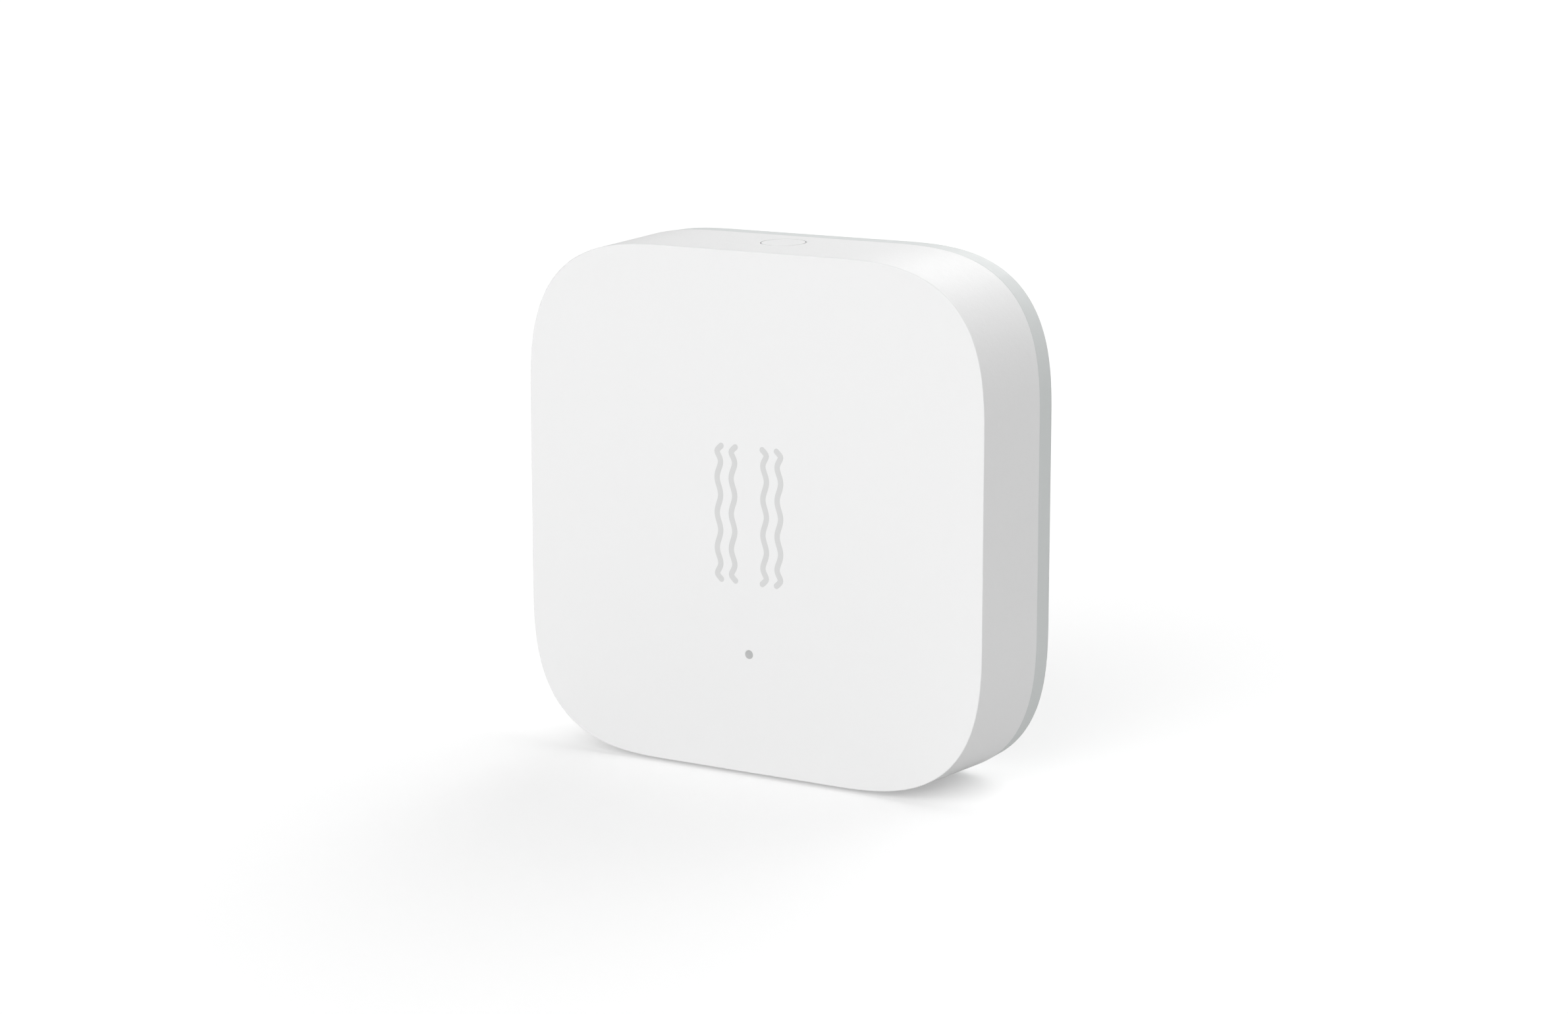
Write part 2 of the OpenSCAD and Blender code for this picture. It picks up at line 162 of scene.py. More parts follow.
def new_mesh(name, vertices, faces):
    """A new object in the scene, from its points and faces."""
    mesh = bpy.data.meshes.new(name)
    mesh.from_pydata(vertices, [], faces)
    piece = bpy.data.objects.new(name, mesh)
    bpy.context.scene.collection.objects.link(piece)
    return piece


def face_outwards(piece):
    """Turns every face of a closed mesh outwards."""
    bpy.ops.object.select_all(action="DESELECT")
    bpy.context.view_layer.objects.active = piece
    piece.select_set(True)
    bpy.ops.object.mode_set(mode="EDIT")
    bpy.ops.mesh.select_all(action="SELECT")
    bpy.ops.mesh.normals_make_consistent(inside=False)
    bpy.ops.object.mode_set(mode="OBJECT")
    return piece


def loft(name, rings, loop=False):
    """Closed mesh through rings of equally many points, capped at both ends or joined in a loop."""
    count = len(rings[0])
    vertices = [p for r in rings for p in r]
    pairs = list(range(len(rings) - 1)) + ([len(rings) - 1] if loop else [])
    faces = []
    for k in pairs:
        here, there = k * count, (k + 1) % len(rings) * count
        for i in range(count):
            j = (i + 1) % count
            faces.append((here + i, here + j, there + j, there + i))
    if not loop:
        last = (len(rings) - 1) * count
        faces.append(tuple(range(count)))
        faces.append(tuple(range(last + count - 1, last - 1, -1)))
    return face_outwards(new_mesh(name, vertices, faces))


def boolean(piece, tool, operation="DIFFERENCE"):
    """Cuts the tool from the piece, or joins it on, and removes the tool."""
    step = piece.modifiers.new("cut", "BOOLEAN")
    step.operation = operation
    step.object = tool
    step.solver = "EXACT"
    bpy.ops.object.select_all(action="DESELECT")
    bpy.context.view_layer.objects.active = piece
    piece.select_set(True)
    bpy.ops.object.modifier_apply(modifier=step.name)
    bpy.data.objects.remove(tool)


def clean(piece):
    """Merges points that a cut has left on top of each other."""
    mesh = bmesh.new()
    mesh.from_mesh(piece.data)
    bmesh.ops.remove_doubles(mesh, verts=mesh.verts, dist=SLIVER)
    bmesh.ops.dissolve_degenerate(mesh, edges=mesh.edges, dist=SLIVER)
    mesh.to_mesh(piece.data)
    mesh.free()


def shade(piece, angle=32):
    """Smooth shading that keeps sharp edges sharp and flat faces flat."""
    clean(piece)
    bpy.ops.object.select_all(action="DESELECT")
    bpy.context.view_layer.objects.active = piece
    piece.select_set(True)
    bpy.ops.object.shade_smooth_by_angle(angle=math.radians(angle))
    normals = piece.modifiers.new("flat_faces", "WEIGHTED_NORMAL")
    normals.keep_sharp = True
    normals.weight = 80
    return piece


def lathe_y(name, rows, x=0, z=MID_Z, points=96):
    """Round piece about an axis along Y: rows of (depth, radius)."""
    turns = [2 * math.pi * i / points for i in range(points)]
    return loft(name, [[(x + r * math.cos(t), y, z + r * math.sin(t)) for t in turns] for y, r in rows])


def sector(name, r0, r1, y0, y1, start, span, steps=23):
    """Part of a ring about the middle axis. Angles turn from +X towards -Z, as the door does."""
    turns = [start + span * i / steps for i in range(steps + 1)]
    path = [(r1, t) for t in turns] + [(r0, t) for t in reversed(turns)]
    rings = [[(r * math.cos(t), y, MID_Z - r * math.sin(t)) for r, t in path] for y in (y0, y1)]
    return loft(name, rings)


def wall_half(y):
    """Half side of the drafted white wall at depth y."""
    return FACE_HALF + DRAFT * (y - Y_FRONT)


def wall_top(y):
    """Height of the upper wall at depth y, above the button."""
    return MID_Z + wall_half(y)


# ---- Materials ----
def new_material(name):
    """A material with its nodes, its links and its main shader."""
    material = bpy.data.materials.new(name)
    material.use_nodes = True
    nodes = material.node_tree.nodes
    return material, nodes, material.node_tree.links, nodes["Principled BSDF"]


def noise(nodes, links, scale, detail=3.0, stretch=(1, 1, 1)):
    """Noise in the piece's own metres."""
    place = nodes.new("ShaderNodeTexCoord")
    mapping = nodes.new("ShaderNodeMapping")
    mapping.inputs["Scale"].default_value = stretch
    texture = nodes.new("ShaderNodeTexNoise")
    texture.inputs["Scale"].default_value = scale
    texture.inputs["Detail"].default_value = detail
    texture.inputs["Roughness"].default_value = 0.55
    links.new(place.outputs["Object"], mapping.inputs["Vector"])
    links.new(mapping.outputs["Vector"], texture.inputs["Vector"])
    return texture.outputs["Fac"]


def spread(nodes, links, source, low, high):
    """A factor spread over a range of values."""
    span = nodes.new("ShaderNodeMapRange")
    span.inputs["From Min"].default_value = 0.3
    span.inputs["From Max"].default_value = 0.7
    span.inputs["To Min"].default_value = low
    span.inputs["To Max"].default_value = high
    links.new(source, span.inputs["Value"])
    return span.outputs["Result"]


def blend_colour(nodes, links, factor, first, second):
    """A colour between two, by a factor."""
    mix = nodes.new("ShaderNodeMix")
    mix.data_type = "RGBA"
    mix.inputs[6].default_value = (*first, 1)
    mix.inputs[7].default_value = (*second, 1)
    links.new(factor, mix.inputs["Factor"])
    return mix.outputs[2]


def add_bump(nodes, links, shader, heights, distance):
    """Bump from one or more heights, each on top of the last."""
    normal = None
    for height, share in heights:
        bump = nodes.new("ShaderNodeBump")
        bump.inputs["Distance"].default_value = distance * share
        bump.inputs["Strength"].default_value = 1.0
        links.new(height, bump.inputs["Height"])
        if normal:
            links.new(normal, bump.inputs["Normal"])
        normal = bump.outputs["Normal"]
    links.new(normal, shader.inputs["Normal"])


def moulded(name, colour, rough=0.45, grain=7000, depth=0.004 * MM, vary=0.012):
    """Spark-eroded moulded plastic: fine grain, faint flow shading and a slightly uneven gloss."""
    material, nodes, links, shader = new_material(name)
    dark = tuple(c * (1 - vary) for c in colour)
    light = tuple(min(c * (1 + vary), 1) for c in colour)
    cloud = noise(nodes, links, 90, 4)
    links.new(blend_colour(nodes, links, cloud, dark, light), shader.inputs["Base Color"])
    fine = noise(nodes, links, grain, 2)
    links.new(spread(nodes, links, noise(nodes, links, grain / 3, 2), rough - 0.04, rough + 0.05),
              shader.inputs["Roughness"])
    add_bump(nodes, links, shader, [(fine, 1.0), (noise(nodes, links, grain / 5, 3), 1.2)], depth)
    shader.inputs["IOR"].default_value = 1.5
    return material


def metal(name, colour, rough=0.3, stretch=(1, 1, 12), vary=0.08):
    """Rolled or plated metal with fine drawn lines and a patchy sheen."""
    material, nodes, links, shader = new_material(name)
    dark = tuple(c * (1 - vary) for c in colour)
    lines = noise(nodes, links, 2500, 3, stretch)
    tint = blend_colour(nodes, links, noise(nodes, links, 400, 4), dark, colour)
    links.new(tint, shader.inputs["Base Color"])
    links.new(spread(nodes, links, lines, rough - 0.08, rough + 0.1), shader.inputs["Roughness"])
    add_bump(nodes, links, shader, [(lines, 1.0)], 0.003 * MM)
    shader.inputs["Metallic"].default_value = 1.0
    return material


def foam(name, colour, cell=5200, depth=0.03 * MM, rough=0.85):
    """Closed-cell foam: open bubbles on the skin, each darkened with painted shade."""
    material, nodes, links, shader = new_material(name)
    place = nodes.new("ShaderNodeTexCoord")
    bubbles = nodes.new("ShaderNodeTexVoronoi")
    bubbles.inputs["Scale"].default_value = cell
    links.new(place.outputs["Object"], bubbles.inputs["Vector"])
    shaded_pits = spread(nodes, links, bubbles.outputs["Distance"], 0.0, 1.0)
    # Painted shade: the colour darkens to 72% in the bubble pits, where the bump sinks the surface.
    dark = tuple(c * 0.72 for c in colour)
    links.new(blend_colour(nodes, links, shaded_pits, dark, colour), shader.inputs["Base Color"])
    gloss = spread(nodes, links, noise(nodes, links, 500, 3), rough - 0.1, rough)
    links.new(gloss, shader.inputs["Roughness"])
    add_bump(nodes, links, shader, [(shaded_pits, 1.0), (noise(nodes, links, 700, 3), 1.5)], depth)
    return material


def laminate(name):
    """Green solder mask: a glossy skin over a faint weave and slightly raised copper tracks."""
    material, nodes, links, shader = new_material(name)
    place = nodes.new("ShaderNodeTexCoord")
    tracks = nodes.new("ShaderNodeTexBrick")
    tracks.inputs["Scale"].default_value = 180
    tracks.inputs["Mortar Size"].default_value = 0.04
    tracks.inputs["Color1"].default_value = (0.0, 0.0, 0.0, 1)
    tracks.inputs["Color2"].default_value = (0.15, 0.15, 0.15, 1)
    tracks.inputs["Mortar"].default_value = (1, 1, 1, 1)
    turn = nodes.new("ShaderNodeMapping")
    turn.inputs["Rotation"].default_value = (math.radians(90), 0, 0)
    links.new(place.outputs["Object"], turn.inputs["Vector"])
    links.new(turn.outputs["Vector"], tracks.inputs["Vector"])
    green = blend_colour(nodes, links, tracks.outputs["Fac"], (0.004, 0.05, 0.022), (0.012, 0.11, 0.045))
    links.new(green, shader.inputs["Base Color"])
    links.new(spread(nodes, links, noise(nodes, links, 900, 3), 0.25, 0.36), shader.inputs["Roughness"])
    heights = [(tracks.outputs["Fac"], 1.0), (noise(nodes, links, 4000, 2), 0.3)]
    add_bump(nodes, links, shader, heights, 0.02 * MM)
    shader.inputs["Coat Weight"].default_value = 0.4
    return material


def frosted(name, colour, rough=0.4):
    """Cloudy light guide plastic."""
    material = moulded(name, colour, rough, 9000, 0.002 * MM, 0.03)
    shader = material.node_tree.nodes["Principled BSDF"]
    shader.inputs["Subsurface Weight"].default_value = 0.2
    shader.inputs["Subsurface Radius"].default_value = (0.3 * MM, 0.3 * MM, 0.3 * MM)
    return material


def white_plastic(name):
    """White moulded plastic, grainy on the walls and much smoother on the face."""
    material = moulded(name, WHITE, 0.46, 7000, 0.014 * MM, 0.006)
    nodes, links = material.node_tree.nodes, material.node_tree.links
    place = nodes.new("ShaderNodeTexCoord")
    axes = nodes.new("ShaderNodeSeparateXYZ")
    links.new(place.outputs["Object"], axes.inputs["Vector"])
    grain = nodes.new("ShaderNodeMapRange")
    grain.inputs["From Min"].default_value = Y_FRONT + 0.3 * EDGE_ROUND
    grain.inputs["From Max"].default_value = Y_FRONT + EDGE_ROUND
    grain.inputs["To Min"].default_value = 0.3
    links.new(axes.outputs["Y"], grain.inputs["Value"])
    for bump in [n for n in nodes if n.bl_idname == "ShaderNodeBump"]:
        links.new(grain.outputs["Result"], bump.inputs["Strength"])
    return material


def floor_material():
    """White studio floor. It glows a little to the camera alone, so that only soft shadows show on it."""
    material, nodes, links, shader = new_material("studio_floor")
    cloud = noise(nodes, links, 3, 2)
    pale = blend_colour(nodes, links, cloud, (0.79, 0.79, 0.79), (0.81, 0.81, 0.81))
    links.new(pale, shader.inputs["Base Color"])
    shader.inputs["Roughness"].default_value = 0.9
    shader.inputs["Specular IOR Level"].default_value = 0.1
    shader.inputs["Emission Color"].default_value = (1, 1, 1, 1)
    rays = nodes.new("ShaderNodeLightPath")
    glow = nodes.new("ShaderNodeMath")
    glow.operation = "MULTIPLY"
    glow.inputs[1].default_value = FLOOR_GLOW
    links.new(rays.outputs["Is Camera Ray"], glow.inputs[0])
    links.new(glow.outputs["Value"], shader.inputs["Emission Strength"])
    return material


WHITE = (0.845, 0.846, 0.846)
GREY = (0.66, 0.685, 0.68)
DOOR_GREY = tuple(c * 0.96 for c in GREY)
SLOT_MATERIALS = {
    "white_shell": lambda: white_plastic("white_plastic"),
    "mark_ink": lambda: moulded("grey_ink", (0.665, 0.667, 0.667), 0.55, 12000, 0.002 * MM, 0.01),
    "light_guide": lambda: frosted("light_guide", (0.5, 0.505, 0.505)),
    "grey_shell": lambda: moulded("grey_plastic", GREY, 0.5, 5500, 0.004 * MM, 0.01),
    "foam_tape": lambda: foam("foam_tape", (0.075, 0.078, 0.082)),
    "grey_door": lambda: moulded("door_plastic", DOOR_GREY, 0.47, 5500, 0.004 * MM, 0.012),
    "dark_foam": lambda: foam("dark_foam", (0.04, 0.04, 0.045), 1800, 0.06 * MM, 0.95),
    "black_plastic": lambda: moulded("black_plastic", (0.022, 0.022, 0.025), 0.5, 5000, 0.006 * MM, 0.1),
    "cell_steel": lambda: metal("cell_steel", (0.63, 0.63, 0.61), 0.28, (1, 1, 1), 0.06),
    "seal_plastic": lambda: moulded("seal_plastic", (0.015, 0.015, 0.015), 0.35, 8000, 0.003 * MM, 0.1),
    "cell_filling": lambda: foam("cell_filling", (0.03, 0.03, 0.03), 6000, 0.02 * MM, 0.9),
    "contact_plating": lambda: metal("contact_plating", (0.68, 0.63, 0.5), 0.25, (8, 1, 1)),
    "board_laminate": lambda: laminate("board_laminate"),
    "chip_epoxy": lambda: moulded("chip_epoxy", (0.018, 0.018, 0.02), 0.55, 9000, 0.008 * MM, 0.15),
    "tinned_steel": lambda: metal("tinned_steel", (0.72, 0.72, 0.7), 0.3, (1, 1, 10)),
    "led_resin": lambda: frosted("led_resin", (0.75, 0.68, 0.4), 0.2),
    "copper_foil": lambda: metal("copper_foil", (0.8, 0.42, 0.24), 0.32, (6, 1, 1)),
    "gold_plating": lambda: metal("gold_plating", (0.9, 0.63, 0.25), 0.22, (1, 1, 1)),
    "ceramic_body": lambda: moulded("ceramic_body", (0.36, 0.25, 0.14), 0.4, 9000, 0.005 * MM, 0.12),
    "amber_body": lambda: moulded("amber_body", (0.5, 0.3, 0.06), 0.45, 8000, 0.005 * MM, 0.08),
    "pale_plastic": lambda: moulded("pale_plastic", (0.72, 0.72, 0.68), 0.4, 7000, 0.004 * MM, 0.02),
    "screw_steel": lambda: metal("screw_steel", (0.5, 0.5, 0.52), 0.3, (1, 4, 1)),
}
MADE = {}


def slot_material(slot):
    """The material of a slot, made the first time it is asked for."""
    if slot not in MADE:
        MADE[slot] = SLOT_MATERIALS[slot]()
    return MADE[slot]


def place_piece(piece, body, node, slot):
    """Gives a finished piece its slot's material, puts it on its body and hides the CAD node it takes the
    place of.
    """
    piece.data.materials.clear()
    piece.data.materials.append(slot_material(slot))
    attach(piece, body)
    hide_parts(node)
    return piece


# ---- Case ----
def button_rings(rows, points=96):
    """Rings about the button's axis from rows of (radius, height, whether from the wall's surface)."""
    rings = []
    for radius, height, follows in rows:
        row = []
        for i in range(points):
            t = 2 * math.pi * i / points
            y = BUTTON_Y + radius * math.sin(t)
            base = wall_top(y) if follows else 0
            row.append((radius * math.cos(t), y, base + height))
        rings.append(row)
    return rings


def mouth(radius, flare, steps=5):
    """Rows of (radius, height) up a hole's rounded mouth and out through the surface."""
    turns = [math.radians(90 * i / steps) for i in range(steps + 1)]
    return [(radius + flare * (1 - math.cos(t)), flare * (math.sin(t) - 1)) for t in turns]


def make_front_shell():
    """Drafted white shell with the button's collar and hole, four screw bosses and the light's hole."""
    inner_lip = CASE_HALF - WALL
    rings = arc(Y_FRONT + EDGE_ROUND, FACE_HALF - EDGE_ROUND, EDGE_ROUND, 180, 90)
    steps = 5
    for i in range(1, steps):
        y = Y_FRONT + EDGE_ROUND + (Y_SPLIT - LIP_ROUND - Y_FRONT - EDGE_ROUND) * i / steps
        rings.append(ring(y, wall_half(y)))
    rings += arc(Y_SPLIT - LIP_ROUND, wall_half(Y_SPLIT) - LIP_ROUND, LIP_ROUND, 90, 0, steps=4)
    rings += [ring(Y_SPLIT, inner_lip), ring(Y_INSIDE, wall_half(Y_INSIDE) - WALL)]
    shell = loft("front_shell_moulding", rings)
    collar_r = FLANGE_R + 0.1 * MM
    collar = button_rings([(collar_r, cap_high[2] - 2.1 * MM, False), (collar_r, -0.6 * MM, True)])
    boolean(shell, loft("collar", collar), "UNION")
    for x in (-1, 1):
        for z in (-1, 1):
            place = (x * SCREW_REACH, MID_Z + z * SCREW_REACH)
            boss = [(Y_INSIDE - 0.1 * MM, BOSS_R), (Y_BOARD, BOSS_R)]
            pilot = [(Y_BOARD - PILOT_DEPTH, PILOT_R), (Y_BOARD + MM, PILOT_R)]
            boolean(shell, lathe_y("boss", boss, *place, 64), "UNION")
            boolean(shell, lathe_y("pilot", pilot, *place, 48))
    relief = HOLE_R + UNDERCUT
    hole = [(relief, cap_high[2] - 4 * MM, False), (relief, -LIP_DEPTH - UNDERCUT, True)]
    hole += [(HOLE_R, -LIP_DEPTH, True)]
    hole += [(r, h, True) for r, h in mouth(HOLE_R, HOLE_FLARE)] + [(HOLE_R + HOLE_FLARE, MM, True)]
    boolean(shell, loft("button_hole", button_rings(hole)))
    light = [(Y_INSIDE + MM, LIGHT_R + LIGHT_GAP)]
    light += [(Y_FRONT - h, r) for r, h in mouth(LIGHT_R + LIGHT_GAP, LIGHT_GAP)]
    light += [(Y_FRONT - MM, LIGHT_R + 2 * LIGHT_GAP)]
    boolean(shell, lathe_y("light_hole", light, 0, LIGHT_Z, 64))
    place_piece(shade(shell), "case", "front_shell", "white_shell")


def make_rear_housing():
    """Grey rear cover: a tongue into the shell, a pocket for the pad and a stepped seat for the door."""
    band_rear = CASE_HALF - 0.06 * MM
    tongue_inner = TONGUE_HALF - MM
    pocket_half = pad_high[0] + 0.1 * MM
    island_r = DOOR_R + 0.9 * MM
    collar_r = LUG_R + 1.35 * MM
    small = 0.08 * MM
    rings = [ring(Y_TONGUE, tongue_inner), ring(Y_TONGUE, TONGUE_HALF), ring(Y_SPLIT, TONGUE_HALF)]
    rings += arc(Y_SPLIT + LIP_ROUND, CASE_HALF - LIP_ROUND, LIP_ROUND, 180, 90, steps=4)
    rings += arc(Y_REAR - REAR_ROUND, band_rear - REAR_ROUND, REAR_ROUND, 90, 0)
    rings += arc(Y_REAR - small, pocket_half + small, small, 0, -90, steps=3)
    rings += [ring(Y_REAR - PAD_POCKET, pocket_half), ring(Y_REAR - PAD_POCKET, island_r, ROUND)]
    rings += arc(Y_REAR - small, island_r - small, small, 90, 0, ROUND, 3)
    rings += arc(Y_REAR - small, SEAT_R + small, small, 0, -90, ROUND, 3)
    rings += [ring(Y_LEDGE_TOP, SEAT_R, ROUND), ring(Y_LEDGE_TOP, LEDGE_R, ROUND)]
    rings += [ring(Y_COLLAR, LEDGE_R, ROUND), ring(Y_COLLAR, collar_r, ROUND)]
    rings += [ring(Y_REAR - REAR_WALL, collar_r, ROUND)]
    rings += [ring(Y_REAR - REAR_WALL, tongue_inner)]
    housing = loft("rear_housing_moulding", rings, loop=True)
    lug_tracks(housing)
    position_dots(housing)
    place_piece(shade(housing), "case", "rear_housing", "grey_shell")


def lug_tracks(housing):
    """Grooves under the ledge for the door's lugs, and notches through it where they come free."""
    margin = math.radians(1.3)
    groove_r = LUG_R + 0.15 * MM
    notch_r = groove_r - 0.05 * MM
    past = 0.1 * MM
    for k in range(LUG_COUNT):
        start = 2 * math.pi * k / LUG_COUNT - LUG_SPAN / 2 - margin
        free = start + DOOR_TURN + margin / 2
        boolean(housing, sector("groove", LEDGE_R - MM, groove_r, Y_COLLAR - MM, Y_LEDGE_UNDER,
                                start, LUG_SPAN + DOOR_TURN + 2 * margin))
        boolean(housing, sector("notch", LEDGE_R - MM, notch_r, Y_LEDGE_UNDER - past, Y_LEDGE_TOP + past,
                                free, LUG_SPAN + margin))


def make_light_pipe():
    """Turned pin: the narrow end in the face, a flange behind it and a foot towards the board's light."""
    flange_r, foot_r, soft = 1.1 * MM, 0.8 * MM, 0.04 * MM
    y_foot = Y_INSIDE + 0.5 * MM
    rows = [(Y_FRONT, LIGHT_R - LIGHT_GAP), (Y_FRONT + LIGHT_GAP, LIGHT_R), (Y_INSIDE, LIGHT_R)]
    rows += [(Y_INSIDE, flange_r - soft), (Y_INSIDE + soft, flange_r), (y_foot, flange_r)]
    rows += [(y_foot, foot_r), (pipe_high[1], foot_r)]
    pin = lathe_y("light_pipe_pin", rows, 0, LIGHT_Z, 64)
    place_piece(shade(pin), "case", "light_pipe", "light_guide")


# ---- Wave marks ----
MARK_W = 0.5 * MM
MARK_PLACES = (1.525 * MM, 2.885 * MM)
MARK_SWING = 0.168 * MM
MARK_WAVE = 2.96 * MM
MARK_HOOK_FROM = 1.737 * MARK_WAVE
MARK_HOOK = 0.4 * MM
MARK_HALF = MARK_HOOK_FROM + 0.43 * MM
MARK_BEND = 1.3
MARK_CROWD = 0.526
MARK_STEPS = 120
END_TURN = 15
INK_PROUD = 0.012 * MM


def mark_offset(z):
    """Sideways place of a line at height z: waves that shorten towards the ends, which then hook over."""
    u = abs(z)
    if u < MARK_HOOK_FROM:
        half_waves = 2 * u / MARK_WAVE + MARK_CROWD * (u / MARK_HOOK_FROM) ** 7
        return -MARK_SWING * math.cos(math.pi * half_waves)
    along = (u - MARK_HOOK_FROM) / (MARK_HALF - MARK_HOOK_FROM)
    return -MARK_SWING + MARK_HOOK * along ** MARK_BEND


def mark_outline():
    """Outline of one line about its own middle, with round ends."""
    heights = [MARK_HALF * (2 * i / MARK_STEPS - 1) for i in range(MARK_STEPS + 1)]
    points = [Vector((mark_offset(z), z)) for z in heights]
    angles = []
    for i in range(len(points)):
        step = points[min(i + 1, MARK_STEPS)] - points[max(i - 1, 0)]
        angles.append(math.atan2(step.y, step.x))

    def side(i, turn):
        angle = angles[i] + math.radians(turn)
        return points[i] + MARK_W / 2 * Vector((math.cos(angle), math.sin(angle)))

    last = MARK_STEPS
    turns = [END_TURN * k for k in range(1, 180 // END_TURN)]
    outline = [side(i, -90) for i in range(last + 1)] + [side(last, -90 + turn) for turn in turns]
    outline += [side(i, 90) for i in range(last, -1, -1)] + [side(0, 90 + turn) for turn in turns]
    # On the inside of a tight bend the offset points cross over: those too near the line are dropped
    return [p for p in outline if min((p - q).length for q in points) > 0.49 * MARK_W]


def make_wave_marks():
    """Four thin printed lines, the left pair mirrored from the right."""
    vertices, faces = [], []
    outline = mark_outline()
    count = len(outline)
    for side in (-1, 1):
        for x in MARK_PLACES:
            base = len(vertices)
            for y in (Y_FRONT - INK_PROUD, Y_FRONT + INK_PROUD / 2):
                vertices += [(side * (x - p.x), y, MID_Z + p.y) for p in outline]
            faces.append(tuple(base + i for i in range(count)))
            faces.append(tuple(base + count + i for i in reversed(range(count))))
            for i in range(count):
                j = (i + 1) % count
                faces.append((base + j, base + i, base + count + i, base + count + j))
    marks = face_outwards(new_mesh("wave_mark_print", vertices, faces))
    place_piece(marks, "case", "wave_marks", "mark_ink")


# ---- Moving pieces ----
def make_button():
    """Cap with a foot below, a flange that holds it in and a thin relief under the rim."""
    foot_r, edge, neck = 1.2 * MM, 0.012 * MM, BUTTON_R - UNDERCUT
    flange = cap_low[2] + 0.3 * MM
    flange_top = flange + 0.5 * MM
    rows = [(foot_r, cap_low[2], False), (foot_r, flange, False), (FLANGE_R, flange, False)]
    rows += [(FLANGE_R, flange_top, False), (neck, flange_top, False)]
    rows += [(neck, -LIP_DEPTH - UNDERCUT, True), (BUTTON_R, -LIP_DEPTH, True)]
    turns = [math.radians(90 * i / 5) for i in range(6)]
    rows += [(BUTTON_R - edge * (1 - math.cos(t)), edge * (math.sin(t) - 1), True) for t in turns]
    cap = loft("button_cap_moulding", button_rings(rows))
    place_piece(shade(cap), "button", "button_cap", "white_shell")


def make_door():
    """Round door: a disc with a rounded rim, a skirt behind it and lugs that turn under the ledge."""
    small, skirt_wall = 0.12 * MM, 0.6 * MM
    y_out, y_in = door_high[1], door_low[1]
    y_back = y_out - 0.8 * MM
    turns = [math.radians(90 * i / 4) for i in range(5)]
    rows = [(y_out - small * (1 - math.cos(t)), DOOR_R - small * (1 - math.sin(t))) for t in turns]
    rows += [(y_back, DOOR_R), (y_back, SKIRT_R), (y_in, SKIRT_R)]
    rows += [(y_in, SKIRT_R - skirt_wall), (y_out - 1.3 * MM, SKIRT_R - skirt_wall)]
    door = lathe_y("battery_door_moulding", rows, points=244)
    for k in range(LUG_COUNT):
        start = 2 * math.pi * k / LUG_COUNT - LUG_SPAN / 2
        lug = sector("lug", SKIRT_R - skirt_wall / 2, LUG_R, y_in + 0.01 * MM, Y_LEDGE_UNDER - 0.1 * MM,
                     start, LUG_SPAN)
        boolean(door, lug, "UNION")
    boolean(door, coin_slot(y_out))
    boolean(door, door_arrow(y_out))
    place_piece(shade(door), "door", "battery_door", "grey_door")


def make_snap_dome():
    """Crowned steel strip under the switch's plunger."""
    low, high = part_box("switch_dome")
    sheet, steps = 0.1 * MM, 20
    shares = [2 * i / steps - 1 for i in range(steps + 1)]

    def row(u, lift, turns):
        x, rise = high[0] * u, (high[2] - low[2] - sheet) * (1 - u * u)
        middle, half = (low[1] + high[1]) / 2, (high[1] - low[1]) / 2
        return [(x, middle + half * v, low[2] + lift + rise * (1 - 0.2 * v * v)) for v in turns]

    rings = [row(u, sheet, shares) + row(u, 0, shares[::-1]) for u in shares]
    dome = place_piece(shade(loft("snap_dome", rings)), "case", "switch_dome", "tinned_steel")
    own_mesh(dome)


def coin_slot(y_out):
    """Cutter for the coin slot: round ends, sloping sides at the mouth and a dished floor."""
    half, width, depth = 7 * MM, 0.95 * MM, 0.8 * MM
    rings = []
    for level, grow in ((-depth, -0.1 * MM), (-0.12 * MM, 0), (0, 0.1 * MM), (MM, 0.1 * MM)):
        row = []
        for side in (1, -1):
            for i in range(13):
                t = math.radians(-90 + 15 * i)
                reach = width + grow
                row.append((side * (half - width + reach * math.cos(t)), y_out + level,
                            MID_Z + side * reach * math.sin(t)))
        rings.append(row)
    return loft("coin_slot", rings)


def door_arrow(y_out):
    """Cutter for a small engraved triangle that points at the rim."""
    tip, base, half = 10.8 * MM, 9.2 * MM, 0.95 * MM
    points = [(0, tip), (-half, base), (half, base)]
    return loft("arrow", [[(x, y, MID_Z + z) for x, z in points] for y in (y_out - 0.3 * MM, y_out + MM)])


def position_dots(housing):
    """Dimples round the door: two where its triangle points when locked, one where it comes free."""
    middle, half, depth = SEAT_R + 0.4 * MM, 0.2 * MM, 0.1 * MM
    beside = 0.035
    dish = [(Y_REAR - depth, half - depth), (Y_REAR + depth, half + depth)]
    for angle in (-beside, beside, DOOR_TURN):
        place = (middle * math.sin(angle), MID_Z + middle * math.cos(angle))
        boolean(housing, lathe_y("dimple", dish, *place, 32))


def make_pad():
    """Foam pad with softly rounded edges and a round hole for the door."""
    soft = 0.15 * MM
    half, hole = pad_high[0] - soft, DOOR_R + MM + soft
    y0, y1 = pad_low[1] + soft, pad_high[1] - soft
    rings = arc(y0, half, soft, 180, 90, steps=3) + arc(y1, half, soft, 90, 0, steps=3)
    rings += arc(y1, hole, soft, 0, -90, ROUND, 3) + arc(y0, hole, soft, -90, -180, ROUND, 3)
    pad = loft("adhesive_pad_foam", rings, loop=True)
    place_piece(shade(pad), "case", "adhesive_pad", "foam_tape")


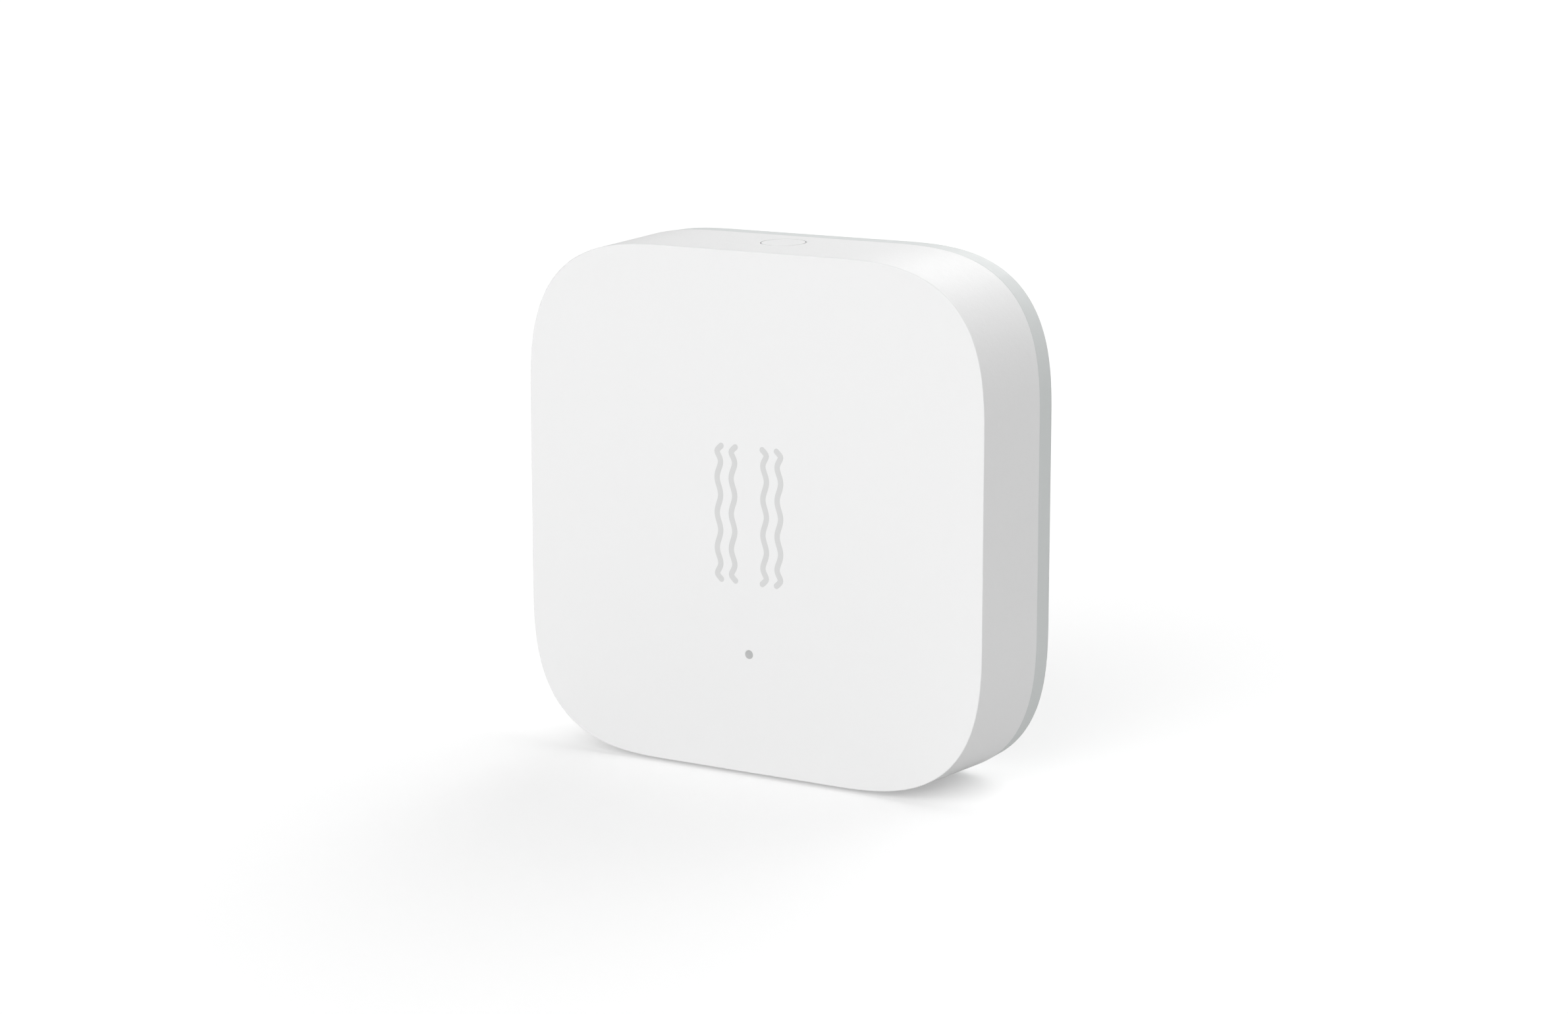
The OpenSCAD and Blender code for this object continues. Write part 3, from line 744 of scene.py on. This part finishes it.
# ---- Inner pieces: CAD shapes with softened edges ----
def finish_cad_nodes(replaced):
    """Gives every CAD node that still shows its slot's material, welded points and softened edges."""
    slots = {s["node"]: s["material_slot"] for s in frame["record"]["subparts"]}
    for name, piece in frame["nodes"].items():
        if name in replaced:
            continue
        for k in range(max(len(piece.material_slots), 1)):
            if not piece.material_slots:
                piece.data.materials.append(None)
            piece.material_slots[k].material = slot_material(slots[name])
        low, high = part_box(name)
        weld = piece.modifiers.new("weld", "WELD")
        weld.merge_threshold = SLIVER
        bevel = piece.modifiers.new("soft_edges", "BEVEL")
        bevel.width = min(0.06 * MM, 0.12 * min(high[i] - low[i] for i in range(3)))
        bevel.segments = 2
        bevel.limit_method = "ANGLE"
        bevel.angle_limit = math.radians(40)


# ---- Studio ----
# Soft bright patches of the surroundings: azimuth and elevation in degrees, focus, strength
LIGHT_PATCHES = (
    (0, 8, 6, 3.3),
    (0, 42, 6, 1.0),
    (135, 42, 6, 1.0),
    (180, 8, 6, 1.8),
    (180, 42, 6, 1.2),
    (190, 30, 60, 1.7),
    (200, 25, 60, 1.5),
)


def direction(azimuth, elevation):
    """Unit vector at an azimuth from the front towards the right, and an elevation, in degrees."""
    a, e = math.radians(azimuth), math.radians(elevation)
    return Vector((math.sin(a) * math.cos(e), -math.cos(a) * math.cos(e), math.sin(e)))


def make_camera():
    """Camera at the photograph's viewing angle: azimuth, elevation and distance from the aim point."""
    azimuth, elevation, distance = 31.447, 11.073, 296.27 * MM
    away = direction(azimuth, elevation)
    right = direction(azimuth + 90, 0)
    up = away.cross(right)
    aim = Vector((0, Y_FRONT + 5.92 * MM, MID_Z)) - right * 0.213 * MM - up * 0.252 * MM
    data = bpy.data.cameras.new("camera")
    data.lens = 81.89
    data.sensor_width = 36
    data.clip_start = 0.01
    data.clip_end = 50
    camera = bpy.data.objects.new("camera", data)
    camera.location = aim + away * distance
    camera.rotation_euler = (math.radians(90 - elevation), 0, math.radians(azimuth))
    bpy.context.scene.collection.objects.link(camera)
    bpy.context.scene.camera = camera


def make_floor():
    """Level round floor, just under the lowest edge of the case."""
    points, radius = 128, 6.0
    turns = [2 * math.pi * i / points for i in range(points)]
    circle = [(radius * math.cos(t), radius * math.sin(t), 0) for t in turns]
    floor = new_mesh("studio_floor", circle, [tuple(range(points))])
    floor.location = (0, 0, FLOOR_Z)
    floor.data.materials.append(floor_material())


def make_world():
    """White surroundings lit by a sum of soft bright patches. The camera itself sees plain white."""
    world = bpy.data.worlds.new("studio")
    bpy.context.scene.world = world
    world.use_nodes = True
    nodes, links = world.node_tree.nodes, world.node_tree.links
    place = nodes.new("ShaderNodeTexCoord")

    def calculate(operation, first, second):
        step = nodes.new("ShaderNodeMath")
        step.operation = operation
        links.new(first, step.inputs[0])
        if isinstance(second, (int, float)):
            step.inputs[1].default_value = second
        else:
            links.new(second, step.inputs[1])
        return step.outputs["Value"]

    total = None
    for azimuth, elevation, focus, strength in LIGHT_PATCHES:
        towards = nodes.new("ShaderNodeVectorMath")
        towards.operation = "DOT_PRODUCT"
        towards.inputs[1].default_value = direction(azimuth, elevation)
        links.new(place.outputs["Generated"], towards.inputs[0])
        ahead = calculate("MAXIMUM", towards.outputs["Value"], 0)
        patch = calculate("MULTIPLY", calculate("POWER", ahead, focus), strength)
        total = calculate("ADD", patch, total) if total else patch
    rays = nodes.new("ShaderNodeLightPath")
    seen = nodes.new("ShaderNodeMix")
    seen.inputs["B"].default_value = 1.0
    links.new(rays.outputs["Is Camera Ray"], seen.inputs["Factor"])
    links.new(total, seen.inputs["A"])
    links.new(seen.outputs["Result"], nodes["Background"].inputs["Strength"])
    nodes["Background"].inputs["Color"].default_value = (1, 1, 1, 1)


make_camera()
make_front_shell()
make_wave_marks()
make_light_pipe()
make_rear_housing()
make_pad()
make_button()
make_door()
make_snap_dome()
finish_cad_nodes(("front_shell", "wave_marks", "light_pipe", "rear_housing", "adhesive_pad",
                  "button_cap", "battery_door", "switch_dome"))
make_floor()
make_world()
bpy.context.scene.view_settings.view_transform = "Standard"
